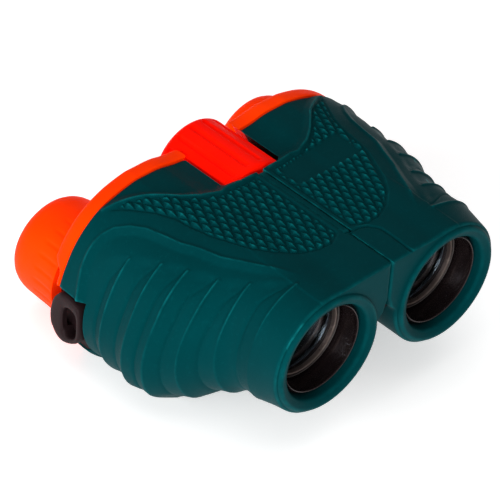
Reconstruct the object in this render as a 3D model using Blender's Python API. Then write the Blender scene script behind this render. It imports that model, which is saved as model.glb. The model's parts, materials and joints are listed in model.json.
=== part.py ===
"""Compact reverse-Porro binoculars: two prism halves on a central hinge, centre-wheel
internal focusing and a turning right eyecup for the dioptre setting.

Design coordinates, in millimetres: x = 0 is the seam between the halves, y = 0 the front
face between the barrels (+y towards the eyes), z = 0 close to the objective axes.
The row frame has its origin at the centre of the underside, so a design point is moved by
(0, -Y_MID, +Z_DOWN) and scaled to metres.  -X is the user's right half.
"""
import bpy
import bmesh
from math import sin, cos, pi, atan, atan2, radians, sqrt
from mathutils import Vector

# ----------------------------------------------------------------- driving dimensions (mm)
MM = 0.001
Y_FRONT, Y_REAR = -1.0, 85.4          # barrel rims and eyecup ends
Y_MID = (Y_FRONT + Y_REAR) / 2
Z_DOWN = 27.2                         # underside below the z datum
GAP = 0.3                             # clearance kept between neighbouring solids

OBJ = (20.0, 0.3)                     # objective axis of the +X half (x, z)
EYE = (34.1, -10.8)                   # eyepiece axis of the +X half
HINGE = (0.0, 6.0)                    # hinge and focus-wheel axis
BARREL_R = 17.0
TOP_Z = 17.5
SHELL_REAR_Y = 63.3
PLATE_REAR_Y = 67.9
WALL = 2.2
LIP_R = 13.1                          # bore of the barrel
RECESS_R = 13.3                       # pocket for the focus wheel
RECESS_Y = 46.2
WHEEL_R = 12.2
WHEEL_Y0, WHEEL_Y1 = 46.9, 72.0
CHANNEL_R = 5.9                       # bore along the hinge axis inside the halves
KNUCKLE_R = 5.6
RIGHT_KNUCKLES = ((2.5, 6.6), (41.2, 45.9))
LEFT_KNUCKLES = ((7.2, 12.0), (36.2, 40.6))
FOLD_SLOPE = 0.30                     # inner walls below the hinge lean out by this
PRISM_STEP = 12.56                    # sideways shift of the beam in each prism
PRISM_TILT = radians(7.5)
PRISM_HALF = 10.2                     # prism length, half, tips cut off
PRISM_WIDE = 6.2
REAR_PRISM_Y, FRONT_PRISM_Y = 44.5, 41.4
SHELF_Y0, SHELF_Y1 = 41.8, 44.1
BEAM_HOLE_R = 5.6
SEGS = 24                             # sides of a turned piece
RING_N = 36                           # points round a body section

for ob in list(bpy.data.objects):
    bpy.data.objects.remove(ob, do_unlink=True)

# ------------------------------------------------------------------------------ materials
def material(name, colour, rough, metal=0.0, alpha=1.0):
    m = bpy.data.materials.new(name)
    m.use_nodes = True
    b = m.node_tree.nodes["Principled BSDF"]
    b.inputs["Base Color"].default_value = (*colour, 1)
    b.inputs["Roughness"].default_value = rough
    b.inputs["Metallic"].default_value = metal
    b.inputs["Alpha"].default_value = alpha
    m.diffuse_color = (*colour, alpha)
    return m

TEAL = (0.0, 0.115, 0.125)
ORANGE = (1.0, 0.09, 0.003)
BLACK = (0.015, 0.013, 0.013)
STEEL = (0.55, 0.55, 0.56)
BRASS = (0.62, 0.45, 0.2)
GLASS = (0.75, 0.82, 0.85)

# --------------------------------------------------------------------------------- helpers
def row(p, side=1):
    """Design millimetres to row metres; side -1 mirrors into the right half."""
    return Vector((side * p[0] * MM, (p[1] - Y_MID) * MM, (p[2] + Z_DOWN) * MM))

def empty(name, p, side=1):
    e = bpy.data.objects.new(name, None)
    e.empty_display_size = 0.005
    e.location = row(p, side)
    bpy.context.scene.collection.objects.link(e)
    return e

def flat(f):
    """True where the four corners of a face lie in one plane."""
    a, b, c, d = [v.co for v in f.verts]
    n = (b - a).cross(c - a)
    return n.length < 1e-14 or abs((d - a).dot(n.normalized())) < 1e-7

def make(name, verts, faces, mat, side=1, parent=None, smooth=True, angle=35, cutter=False):
    """One closed mesh from design points; its origin goes on its parent's axis or its middle."""
    pts = [row(v, side) for v in verts]
    if side < 0:
        faces = [tuple(reversed(f)) for f in faces]
    if parent is not None:
        o = parent.location.copy()
    else:
        lo = [min(p[i] for p in pts) for i in range(3)]
        hi = [max(p[i] for p in pts) for i in range(3)]
        o = Vector([(a + b) / 2 for a, b in zip(lo, hi)])
    me = bpy.data.meshes.new(name)
    me.from_pydata([p - o for p in pts], [], faces)
    bm = bmesh.new()
    bm.from_mesh(me)
    bmesh.ops.remove_doubles(bm, verts=bm.verts, dist=1e-7)
    bmesh.ops.triangulate(bm, faces=[f for f in bm.faces if len(f.verts) == 4 and not flat(f)])
    bm.to_mesh(me)
    bm.free()
    if smooth:
        me.shade_smooth()
        me.set_sharp_from_angle(angle=radians(angle))
    ob = bpy.data.objects.new(name, me)
    bpy.context.scene.collection.objects.link(ob)
    if parent is not None:
        ob.parent = parent
    else:
        ob.location = o
    if cutter:
        ob.hide_render = True
        ob.display_type = 'WIRE'
    else:
        me.materials.append(mat)
    return ob

def turned(axis, profile, n=SEGS, phase=0.0):
    """Closed solid of revolution about a line along y through axis (x, z).
    profile is a closed loop of (radius, y), going from the front outer edge rearwards."""
    verts, rings = [], []
    for r, y in profile:
        if r < 1e-6:
            rings.append([len(verts)])
            verts.append((axis[0], y, axis[1]))
        else:
            rings.append(list(range(len(verts), len(verts) + n)))
            for k in range(n):
                a = phase + 2 * pi * k / n
                verts.append((axis[0] + r * cos(a), y, axis[1] + r * sin(a)))
    faces = []
    m = len(profile)
    for i in range(m):
        a, b = rings[i], rings[(i + 1) % m]
        if len(a) == 1 and len(b) == 1:
            continue
        for k in range(n):
            k2 = (k + 1) % n
            if len(a) == 1:
                faces.append((a[0], b[k], b[k2]))
            elif len(b) == 1:
                faces.append((a[k], b[0], a[k2]))
            else:
                faces.append((a[k], b[k], b[k2], a[k2]))
    return verts, faces

def tube(axis, r_out, r_in, y0, y1, n=SEGS, bevel=0.0):
    b = bevel
    if b:
        prof = [(r_out - b, y0), (r_out, y0 + b), (r_out, y1 - b), (r_out - b, y1), (r_in, y1), (r_in, y0)]
    else:
        prof = [(r_out, y0), (r_out, y1), (r_in, y1), (r_in, y0)]
    return turned(axis, prof, n)

def rod(axis, r, y0, y1, n=SEGS, bevel=0.0, phase=0.0):
    b = bevel
    if b:
        return turned(axis, [(0, y0), (r - b, y0), (r, y0 + b), (r, y1 - b), (r - b, y1), (0, y1)], n, phase)
    return turned(axis, [(0, y0), (r, y0), (r, y1), (0, y1)], n, phase)

def lens(axis, r, y0, y1, bulge0, bulge1, n=SEGS, rings=2):
    """Biconvex lens: edge from y0 to y1, faces bulging out by bulge0 and bulge1."""
    prof = [(0, y0 - bulge0)]
    for i in range(1, rings + 1):
        t = i / rings
        prof.append((r * t, y0 - bulge0 * (1 - t * t)))
    for i in range(rings, 0, -1):
        t = i / rings
        prof.append((r * t, y1 + bulge1 * (1 - t * t)))
    prof.append((0, y1 + bulge1))
    return turned(axis, prof, n)

def box(x0, x1, y0, y1, z0, z1):
    v = [(x, y, z) for x in (x0, x1) for y in (y0, y1) for z in (z0, z1)]
    f = [(0, 1, 3, 2), (4, 6, 7, 5), (0, 4, 5, 1), (2, 3, 7, 6), (0, 2, 6, 4), (1, 5, 7, 3)]
    return v, f

def boolean(ob, cutter, op='DIFFERENCE'):
    m = ob.modifiers.new(op.title(), 'BOOLEAN')
    m.object = cutter
    m.operation = op
    m.solver = 'EXACT'
    return m

def bevelled(ob, width, segments=2, angle=30):
    m = ob.modifiers.new("Bevel", 'BEVEL')
    m.width = width * MM
    m.segments = segments
    m.limit_method = 'ANGLE'
    m.angle_limit = radians(angle)
    return m

# ----------------------------------------------------------------- the body's cross section
def sstep(t):
    t = min(1.0, max(0.0, t))
    return t * t * (3 - 2 * t)

def smax(a, b, w):
    d = abs(a - b)
    return max(a, b) + ((w - d) ** 2 / (4 * w) if d < w else 0.0)

def smin(a, b, w):
    return -smax(-a, -b, w)

def centre(y):
    """The point each section is drawn about: on the objective axis in front, lower behind."""
    s = sstep((y - 14) / 26.0)
    return OBJ[0] + 7.0 * s, OBJ[1] - 5.0 * s

def exit_ellipse(c, d, p, a, b):
    ox, oz, dx, dz = (c[0] - p[0]) / a, (c[1] - p[1]) / b, d[0] / a, d[1] / b
    A, B = dx * dx + dz * dz, dx * ox + dz * oz
    q = B * B - A * (ox * ox + oz * oz - 1)
    return (-B + sqrt(q)) / A if q > 0 else 0.0

def exit_plane(c, d, n, p):
    den = n[0] * d[0] + n[1] * d[1]
    return (n[0] * (p[0] - c[0]) + n[1] * (p[1] - c[1])) / den if den > 1e-6 else 1e3

def section(th, y):
    """Radius of the outer outline at angle th about centre(y): the objective barrel, the
    shoulder over the prisms, the bulge round the eyepiece axis and the flat top, blended."""
    c, d = centre(y), (cos(th), sin(th))
    r = exit_ellipse(c, d, OBJ, BARREL_R, BARREL_R)
    g = sstep((y - 9) / 29.0)
    r = smax(r, exit_ellipse(c, d, (OBJ[0] + 4 * g, OBJ[1] - 8.3 * g), 13 + 12.4 * g, 13.5 + 11.7 * g), 2.5)
    h = sstep((y - 6) / 31.0)
    br = 13 + 3.8 * h - 0.4 * sstep((y - 50) / 13)
    r = smax(r, exit_ellipse(c, d, (OBJ[0] + (EYE[0] - OBJ[0]) * h, OBJ[1] + (EYE[1] - OBJ[1]) * h), br, br), 2.5)
    t = exit_plane(c, d, (0, 1), (0, TOP_Z))
    t = smin(t, exit_plane(c, d, (0.12, 0.993), (14, TOP_Z)), 1.0)
    t = min(t, exit_plane(c, d, (1, 0), (23, 0)), exit_plane(c, d, (-0.64, -0.768), (1.3, 2.5)))
    r = smax(r, t, 1.5)
    lean = atan(FOLD_SLOPE)
    return min(r, exit_plane(c, d, (-1, 0), (GAP / 2, 0)),
               exit_plane(c, d, (-cos(lean), -sin(lean)), (0.25, HINGE[1])),
               exit_plane(c, d, (0, 1), (0, TOP_Z)), exit_plane(c, d, (0, -1), (0, -Z_DOWN)))

def cavity(th, y):
    """Radius of the hollow inside: clear of the hinge, the wheel pocket and the lug pocket."""
    c, d = centre(y), (cos(th), sin(th))
    r = section(th, y) - WALL
    r = min(r, exit_plane(c, d, (-1, 0), (7.4 if y < 44.45 else 14.7, 0)))
    r = min(r, exit_plane(c, d, (0, 1), (0, TOP_Z - WALL)), exit_plane(c, d, (0, -1), (0, -Z_DOWN + WALL)))
    if y > 51:
        r = min(r, exit_plane(c, d, (1, 0), (45.0, 0)))
    return r

def angles(y):
    """RING_N directions; those nearest the two corners on the seam are turned to meet them."""
    th = [2 * pi * k / RING_N for k in range(RING_N)]
    c = centre(y)
    for px, pz in ((GAP / 2, TOP_Z), (0.25, HINGE[1])):
        a = atan2(pz - c[1], px - c[0]) % (2 * pi)
        k = min(range(RING_N), key=lambda i: abs(th[i] - a))
        th[k] = a
    return th

def ring(y, radius, at=None):
    """Points of one body ring: radius is a number or a function of (angle, y)."""
    c = centre(y)
    out = []
    for a in angles(y):
        r = radius(a, y) if callable(radius) else radius
        out.append((c[0] + r * cos(a), y if at is None else at, c[1] + r * sin(a)))
    return out

def skin(rings, closed=True, caps=False):
    verts = [p for r in rings for p in r]
    n, m = RING_N, len(rings)
    faces = []
    for i in range(m if closed else m - 1):
        a, b = i * n, ((i + 1) % m) * n
        for k in range(n):
            k2 = (k + 1) % n
            faces.append((a + k, b + k, b + k2, a + k2))
    if caps:
        faces.append(tuple(range(n)))
        faces.append(tuple(reversed(range((m - 1) * n, m * n))))
    return verts, faces

def shell_rings():
    outer_y = [1.0, 4, 8, 12, 16, 20, 24, 28, 32, 36, 40, 46, 52, 58, SHELL_REAR_Y]
    rings = [ring(0.0, 13.1, -0.3), ring(0.0, 13.9, Y_FRONT), ring(0.0, 15.3, Y_FRONT), ring(0.0, 16.0, -0.3),
             ring(0.0, lambda a, y: section(a, y) - 0.6, 0.0)]
    rings += [ring(y, section) for y in outer_y]
    inner_y = [SHELL_REAR_Y, 52, 51, 44.6, 44.3, 38, 31, 25, 20, 17]
    rings += [ring(y, cavity) for y in inner_y]
    rings.append(ring(14.0, LIP_R, 15.6))
    return rings

# -------------------------------------------------------------------- pivots (joint axes)
hinge_pivot = empty("hinge_pivot", (HINGE[0], 24.0, HINGE[1]))
wheel_pivot = empty("wheel_pivot", (HINGE[0], 59.0, HINGE[1]))
right_focus_guide = empty("right_focus_guide", (OBJ[0], 12.0, OBJ[1]), -1)
left_focus_guide = empty("left_focus_guide", (OBJ[0], 12.0, OBJ[1]), 1)
dioptre_pivot = empty("dioptre_pivot", (EYE[0], 75.0, EYE[1]), -1)

# ---------------------------------------------------------------------------- one half
U1 = (cos(PRISM_TILT), sin(PRISM_TILT))               # sideways, along the rear prism
U2 = (sin(PRISM_TILT), -cos(PRISM_TILT))              # down, along the front prism
MID_BEAM = (OBJ[0] + PRISM_STEP * U1[0], OBJ[1] + PRISM_STEP * U1[1])
REAR_C = (OBJ[0] + PRISM_STEP / 2 * U1[0], OBJ[1] + PRISM_STEP / 2 * U1[1])
FRONT_C = (MID_BEAM[0] + PRISM_STEP / 2 * U2[0], MID_BEAM[1] + PRISM_STEP / 2 * U2[1])

def extruded(c, u, w, pts, half):
    """Polygon pts of (along u, y), pulled out by half each way along w."""
    n = len(pts)
    verts = []
    for s in (-1, 1):
        for a, y in pts:
            verts.append((c[0] + u[0] * a + w[0] * s * half, y, c[1] + u[1] * a + w[1] * s * half))
    faces = [tuple(range(n)), tuple(range(2 * n - 1, n - 1, -1))]
    for k in range(n):
        k2 = (k + 1) % n
        faces.append((k, k + n, k2 + n, k2))
    return verts, faces

def outward(v, f):
    """Turn the faces round where the solid would be inside out."""
    vol = 0.0
    for face in f:
        p = [Vector(v[i]) for i in face]
        for i in range(1, len(p) - 1):
            vol += p[0].dot(p[i].cross(p[i + 1])) / 6
    return (v, f) if vol > 0 else (v, [tuple(reversed(x)) for x in f])

def prism_profile(y0, s):
    """Roof shape: the long face at y0, the roof edge towards s, with the tips cut off."""
    h = PRISM_STEP
    tip = h - PRISM_HALF
    return [(-PRISM_HALF, y0), (PRISM_HALF, y0), (PRISM_HALF, y0 + s * tip),
            (0.4, y0 + s * (h - 0.4)), (-0.4, y0 + s * (h - 0.4)), (-PRISM_HALF, y0 + s * tip)]

def clip_profile(y0, s):
    """Spring strip bent over the roof of a prism, 0.5 thick and 0.35 clear of it."""
    h = PRISM_STEP
    tip = h - PRISM_HALF
    outer, inner = [], []
    for off, lst in ((0.85, outer), (0.35, inner)):
        e = PRISM_HALF + off
        k = off * (sqrt(2) - 1)
        lst += [(-e, y0 + s * 0.5), (-e, y0 + s * (tip + k)), (-0.4, y0 + s * (h - 0.4 + off)),
                (0.4, y0 + s * (h - 0.4 + off)), (e, y0 + s * (tip + k)), (e, y0 + s * 0.5)]
    return outer + inner[::-1]

def half(side):
    tag = "left" if side > 0 else "right"
    parent = hinge_pivot if side > 0 else None
    knuckles = LEFT_KNUCKLES if side > 0 else RIGHT_KNUCKLES
    teal = material(tag + "_shell_rubber", TEAL, 0.5)
    orange = material(tag + "_orange_rubber", ORANGE, 0.45)
    black = material(tag + "_black_plastic", BLACK, 0.4)
    alu = material(tag + "_black_aluminium", (0.03, 0.03, 0.03), 0.35, 0.6)
    tan = material(tag + "_brass_ring", BRASS, 0.4, 0.8)
    steel = material(tag + "_spring_steel", STEEL, 0.3, 1.0)
    glass = material(tag + "_glass", GLASS, 0.05, 0.0, 0.35)

    def piece(name, geo, mat, par=parent, **kw):
        return make(tag + "_" + name, *outward(*geo), mat, side, par, **kw)

    def cut(name, geo):
        v, f = outward(*geo)
        return make(tag + "_cut_" + name, v, f, None, side, None, smooth=False, cutter=True)

    # body shell with its hinge knuckles
    shell = piece("body_shell", skin(shell_rings()), teal, angle=30)
    boolean(shell, cut("lug_pocket", box(46.3, 56.0, 54.0, 70.0, -20.6, -4.2)))
    boolean(shell, cut("wheel_pocket", rod(HINGE, RECESS_R, RECESS_Y, 75.0, 48, phase=0.037)))
    boolean(shell, cut("strip_groove", box(-2.0, 1.2, 14.8, 50.0, 11.3, 20.0)))
    boolean(shell, cut("arm_slot", box(3.0, 12.0, 15.2, 25.8, 3.9, 8.1)))
    for i, (a, b) in enumerate(((6.9, 40.9),) if side < 0 else ((2.2, 6.9), (12.3, 35.9), (40.9, 47.0))):
        boolean(shell, cut("channel_%d" % i, rod(HINGE, CHANNEL_R, a, b, 24, phase=0.037)))
    for i, (a, b) in enumerate(knuckles):
        boolean(shell, cut("knuckle_%d" % i, rod(HINGE, KNUCKLE_R, a, b, 26, phase=0.051)), 'UNION')
    boolean(shell, cut("bush_bore", rod(HINGE, 4.3, 35.0, 48.0, 22, phase=0.083)))
    boolean(shell, cut("pin_bore", rod(HINGE, 2.3, 2.05, 13.0, 20, phase=0.063)))

    # rear plate
    rear_ring = [ring(SHELL_REAR_Y, section, SHELL_REAR_Y + GAP),
                 ring(SHELL_REAR_Y, lambda a, y: section(a, y) - 0.1, 66.4),
                 ring(SHELL_REAR_Y, lambda a, y: section(a, y) - 0.5, 67.4),
                 ring(SHELL_REAR_Y, lambda a, y: section(a, y) - 1.3, PLATE_REAR_Y)]
    plate = piece("rear_plate", skin(rear_ring, closed=False, caps=True), orange, angle=30)
    boolean(plate, cut("plate_wheel_pocket", rod(HINGE, RECESS_R, 60.0, 75.0, 48, phase=0.037)))
    boolean(plate, cut("eyepiece_hole", rod(EYE, 10.75, 60.0, 75.0, 32)))
    boolean(plate, cut("plate_lug_pocket", box(46.3, 56.0, 60.0, 72.0, -20.6, -4.2)))

    # strap lug: a bar held clear of its floor, so a strap can pass round it
    lug = piece("strap_lug", box(46.6, 51.0, 54.3, 66.0, -20.3, -4.5), black, smooth=False)
    boolean(lug, cut("lug_window", box(47.4, 53.0, 55.2, 61.3, -17.4, -7.4)))
    boolean(lug, cut("lug_tunnel", box(47.4, 48.9, 60.0, 68.0, -17.4, -7.4)))

    # objective sleeve fixed in the barrel
    piece("objective_sleeve", turned(OBJ, [(12.8, 1.7), (12.8, 15.0), (12.25, 15.0), (12.25, 2.7), (11.1, 2.7), (11.1, 1.7)]), black)
    # moving objective cell, lens and retaining ring
    guide = left_focus_guide if side > 0 else right_focus_guide
    piece("objective_cell", turned(OBJ, [(11.95, 7.9), (11.95, 18.0), (10.2, 18.0), (10.2, 13.6), (11.4, 13.6), (11.4, 7.9)]), alu, guide)
    piece("objective_lens", lens(OBJ, 11.1, 10.4, 13.0, 1.0, 0.3, 24), glass, guide)
    piece("objective_ring", tube(OBJ, 11.1, 10.5, 7.9, 9.2), tan, guide)

    # prism shelf with the three beam holes
    def shelf_r(a, y):
        return cavity(a, 43.5) - 0.6
    c = centre(43.5)
    sh = []
    for yy in (SHELF_Y0, SHELF_Y1):
        sh.append([(c[0] + shelf_r(a, 0) * cos(a), yy, c[1] + shelf_r(a, 0) * sin(a)) for a in angles(43.5)])
    shelf = piece("prism_shelf", skin(sh, closed=False, caps=True), black, angle=30)
    for i, p in enumerate((OBJ, MID_BEAM, EYE)):
        boolean(shelf, cut("beam_%d" % i, rod(p, BEAM_HOLE_R, 40.0, 46.0, 20)))
    piece("rear_prism", extruded(REAR_C, U1, U2, prism_profile(REAR_PRISM_Y, 1), PRISM_WIDE), glass, smooth=False)
    piece("front_prism", extruded(FRONT_C, U2, U1, prism_profile(FRONT_PRISM_Y, -1), PRISM_WIDE), glass, smooth=False)
    piece("rear_prism_clip", extruded(REAR_C, U1, U2, clip_profile(REAR_PRISM_Y, 1), 2.2), steel, smooth=False)
    piece("front_prism_clip", extruded(FRONT_C, U2, U1, clip_profile(FRONT_PRISM_Y, -1), 2.2), steel, smooth=False)

    # eyepiece: barrel, lenses, retaining ring and eyecup
    eye_par = parent if side > 0 else dioptre_pivot
    piece("eyepiece_barrel", turned(EYE, [(10.4, 59.6), (10.4, 77.3), (9.9, 77.8), (7.4, 77.8), (7.4, 73.0), (8.9, 73.0), (8.9, 59.6)]), black, eye_par)
    piece("field_lens", lens(EYE, 8.6, 61.8, 63.4, 0.3, 1.2, 18), glass, eye_par)
    piece("eye_lens_ring", tube(EYE, 8.6, 7.3, 67.6, 69.0, 24), black, eye_par)
    piece("eye_lens", lens(EYE, 8.6, 69.6, 71.8, 0.3, 0.8, 18), glass, eye_par)
    piece("eyecup", turned(EYE, [(14.1, 68.2), (13.9, 71.5), (13.8, 80.0), (13.5, 82.4), (12.7, 84.3), (11.4, 85.4),
                                 (9.8, 85.4), (8.9, 84.7), (8.6, 83.4), (8.6, 79.4), (10.75, 79.4), (10.75, 68.2)], 28), orange, eye_par)

half(-1)
half(1)

# ------------------------------------------------------------- the middle: hinge and focus
mid_black = material("hinge_black", BLACK, 0.4)
mid_steel = material("hinge_steel", STEEL, 0.3, 1.0)
mid_teal = material("strip_rubber", TEAL, 0.5)
wheel_orange = material("wheel_rubber", ORANGE, 0.42)
mid_brass = material("carriage_brass", BRASS, 0.35, 1.0)

make("front_hinge_pin", *outward(*rod(HINGE, 2.0, 2.4, 12.3, 20, 0.3)), mid_steel)
make("rear_hinge_bush", *outward(*tube(HINGE, 4.0, 2.85, 36.0, 46.4, 24, 0.3)), mid_steel)
strip = make("centre_strip", *outward(*box(-0.9, 0.9, 15.1, 45.9, 12.0, 17.35)), mid_teal, smooth=False)
bevelled(strip, 0.25, 1)

wheel_prof = [(10.2, 46.9), (11.5, 46.9), (12.2, 47.8), (12.2, 69.6), (11.7, 71.1), (10.3, 72.0), (9.2, 71.6), (8.8, 69.8),
              (4.6, 69.4), (2.8, 69.4), (2.8, 47.2), (5.2, 47.2), (5.2, 49.4), (10.2, 49.4)]
make("focus_wheel", *outward(*turned(HINGE, wheel_prof, 36)), wheel_orange, 1, wheel_pivot)

screw_prof = [(0, 15.2), (2.1, 15.2)]
THREAD_Y0, THREAD_PITCH, THREADS = 15.6, 2.0, 8
for i in range(THREADS):
    y = THREAD_Y0 + i * THREAD_PITCH
    screw_prof += [(2.5, y + 0.2), (2.1, y + 0.2 + THREAD_PITCH / 2)]
screw_prof += [(2.5, THREAD_Y0 + THREADS * THREAD_PITCH + 0.4), (2.5, 69.0), (1.3, 69.0), (1.3, 62.0), (0, 62.0)]
make("focus_screw", *outward(*turned(HINGE, screw_prof, 12)), mid_steel, 1, wheel_pivot)
make("focus_wheel_screw", *outward(*turned(HINGE, [(0, 62.6), (1.0, 62.6), (1.0, 69.75), (4.2, 69.75), (4.2, 70.6), (3.2, 71.2), (0, 71.3)], 20)),
     mid_steel, 1, wheel_pivot)

# carriage: the nut on the focus screw with the right arm, and the left arm's ring on it
carriage = make("focus_carriage", *outward(*turned(HINGE, [(4.0, 16.6), (4.0, 21.8), (5.3, 21.8), (5.3, 24.2), (2.85, 24.2), (2.85, 16.6)], 24)),
                mid_brass, 1, right_focus_guide)
def cutter(name, geo, side=1):
    v, f = outward(*geo)
    return make(name, v, f, None, side, None, smooth=False, cutter=True)
boolean(carriage, cutter("arm_bar", box(4.6, 10.4, 21.9, 24.1, 4.3, 7.7), -1), 'UNION')
boolean(carriage, cutter("arm_finger", box(9.1, 10.4, 18.3, 23.0, 4.3, 7.7), -1), 'UNION')
make("carriage_retaining_ring", *outward(*tube(HINGE, 5.3, 4.3, 17.0, 17.8, 20)), mid_steel, 1, right_focus_guide)
left_arm = make("left_focus_arm", *outward(*tube(HINGE, 5.4, 4.3, 18.3, 21.4, 24)), mid_brass, 1, left_focus_guide)
boolean(left_arm, cutter("left_arm_bar", box(4.9, 10.4, 18.4, 21.3, 4.3, 7.7)), 'UNION')
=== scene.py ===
"""Looks of the compact reverse-Porro binoculars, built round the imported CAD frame.

Shapes are worked out in design millimetres (x = 0 the seam between the halves, y = 0 the
front face, z = 0 near the objective axes) and moved to the row frame in metres.
"""
import bpy
import bmesh
import json
import numpy as np
from math import sin, cos, pi, atan, atan2, radians, sqrt
from mathutils import Vector, Matrix

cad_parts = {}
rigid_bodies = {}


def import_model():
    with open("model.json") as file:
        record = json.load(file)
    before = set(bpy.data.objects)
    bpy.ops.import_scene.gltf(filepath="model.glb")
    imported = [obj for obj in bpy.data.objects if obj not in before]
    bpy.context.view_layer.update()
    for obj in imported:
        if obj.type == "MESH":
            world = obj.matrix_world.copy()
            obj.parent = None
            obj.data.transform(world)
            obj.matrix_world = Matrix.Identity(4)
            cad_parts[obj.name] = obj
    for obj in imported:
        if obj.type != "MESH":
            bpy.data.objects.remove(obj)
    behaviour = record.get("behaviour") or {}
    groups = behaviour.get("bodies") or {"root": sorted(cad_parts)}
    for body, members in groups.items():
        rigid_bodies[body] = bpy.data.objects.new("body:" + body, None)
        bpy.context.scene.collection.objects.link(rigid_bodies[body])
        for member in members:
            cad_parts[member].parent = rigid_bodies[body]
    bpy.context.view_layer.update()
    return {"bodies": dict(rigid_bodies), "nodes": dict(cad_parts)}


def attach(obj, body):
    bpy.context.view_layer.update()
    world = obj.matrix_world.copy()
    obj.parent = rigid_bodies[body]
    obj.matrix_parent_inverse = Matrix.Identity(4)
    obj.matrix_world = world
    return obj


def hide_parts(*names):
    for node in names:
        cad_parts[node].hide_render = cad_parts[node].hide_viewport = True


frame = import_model()

MM = 0.001
SHIFT = np.array([0.0, -42.2, 27.2])
OBJ, EYE, HINGE = (20.0, 0.3), (34.1, -10.8), (0.0, 6.0)
SIDES = (("right", -1), ("left", 1))
HALF = {"right": "right_half", "left": "left_half"}

# ---------------------------------------------------------------------------- materials
def nodes_of(name):
    m = bpy.data.materials.new(name)
    m.use_nodes = True
    nt = m.node_tree
    return m, nt, nt.nodes["Principled BSDF"]


def node(nt, kind, **inputs):
    n = nt.nodes.new(kind)
    for k, v in inputs.items():
        n.inputs[k.replace("_", " ")].default_value = v
    return n


def noise(nt, coord, scale, detail=4.0, rough=0.55, distortion=0.0):
    n = node(nt, "ShaderNodeTexNoise", Scale=scale, Detail=detail, Roughness=rough, Distortion=distortion)
    nt.links.new(coord, n.inputs["Vector"])
    return n.outputs["Fac"]


def remap(nt, fac, a, b, lo, hi):
    n = nt.nodes.new("ShaderNodeMapRange")
    for i, v in ((1, a), (2, b), (3, lo), (4, hi)):
        n.inputs[i].default_value = v
    nt.links.new(fac, n.inputs[0])
    return n.outputs[0]


def mix(nt, fac, a, b):
    n = nt.nodes.new("ShaderNodeMix")
    n.data_type = "RGBA"
    nt.links.new(fac, n.inputs[0])
    for sock, v in ((n.inputs[6], a), (n.inputs[7], b)):
        if isinstance(v, tuple):
            sock.default_value = (*v, 1)
        else:
            nt.links.new(v, sock)
    return n.outputs[2]


def maths(nt, op, a, b):
    n = nt.nodes.new("ShaderNodeMath")
    n.operation = op
    for i, v in enumerate((a, b)):
        if isinstance(v, (int, float)):
            n.inputs[i].default_value = v
        else:
            nt.links.new(v, n.inputs[i])
    return n.outputs[0]


def worn(name, base, dark, pale, rough, grain, bump, metal=0.0, emission=None, spec=0.5, blotch=60.0,
         brushed=None, coat=0.0, sheen=0.0, edge=0.35, tint=None):
    """A moulded or machined surface: slow colour drift, fine grain, pale specks, paler convex edges
    that are partly rubbed wear and partly painted highlight, uneven gloss, an optional painted glow."""
    m, nt, b = nodes_of(name)
    co = nt.nodes.new("ShaderNodeTexCoord").outputs["Object"]
    drift = noise(nt, co, blotch, 3.0)
    fine = noise(nt, co, grain, 6.0, 0.6)
    speck = noise(nt, co, grain * 0.22, 2.0, 0.7)
    col = mix(nt, remap(nt, drift, 0.32, 0.7, 0.0, 1.0), base, dark)
    col = mix(nt, remap(nt, speck, 0.56, 0.74, 0.0, 0.05), col, pale)
    geo = nt.nodes.new("ShaderNodeNewGeometry")
    # Paler convex edges, set by edge: partly rubbed wear, partly a painted highlight on crests, tips and rims
    # (strongest on the teal rubber).
    rub_and_highlight = remap(nt, geo.outputs["Pointiness"], 0.515, 0.60, 0.0, edge)
    rub_and_highlight = maths(nt, "MULTIPLY", rub_and_highlight, remap(nt, noise(nt, co, blotch * 6, 3.0), 0.35, 0.65, 0.3, 1.0))
    col = mix(nt, rub_and_highlight, col, pale)
    nt.links.new(col, b.inputs["Base Color"])
    r = remap(nt, fine, 0.3, 0.7, rough - 0.07, rough + 0.07)
    r = maths(nt, "ADD", r, remap(nt, drift, 0.3, 0.7, -0.04, 0.05))
    nt.links.new(r, b.inputs["Roughness"])
    b.inputs["Metallic"].default_value = metal
    b.inputs["Specular IOR Level"].default_value = spec
    if tint:
        b.inputs["Specular Tint"].default_value = (*tint, 1)
    if coat:
        b.inputs["Coat Weight"].default_value = coat
        b.inputs["Coat Roughness"].default_value = 0.25
    if sheen:
        b.inputs["Sheen Weight"].default_value = sheen
        b.inputs["Sheen Roughness"].default_value = 0.5
    # Painted glow: the surface gives off a little light of its own though it is no lamp, which lifts its shaded sides.
    if emission:
        b.inputs["Emission Color"].default_value = (*emission[0], 1)
        b.inputs["Emission Strength"].default_value = emission[1]
    height = fine
    if brushed:
        w = node(nt, "ShaderNodeTexWave", Scale=brushed, Distortion=1.5, Detail=2.0)
        w.wave_type, w.bands_direction = "BANDS", "Y"
        nt.links.new(co, w.inputs["Vector"])
        height = maths(nt, "ADD", maths(nt, "MULTIPLY", w.outputs["Fac"], 0.6), fine)
    bp = node(nt, "ShaderNodeBump", Strength=bump, Distance=0.0001)
    nt.links.new(height, bp.inputs["Height"])
    nt.links.new(bp.outputs["Normal"], b.inputs["Normal"])
    return m


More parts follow.
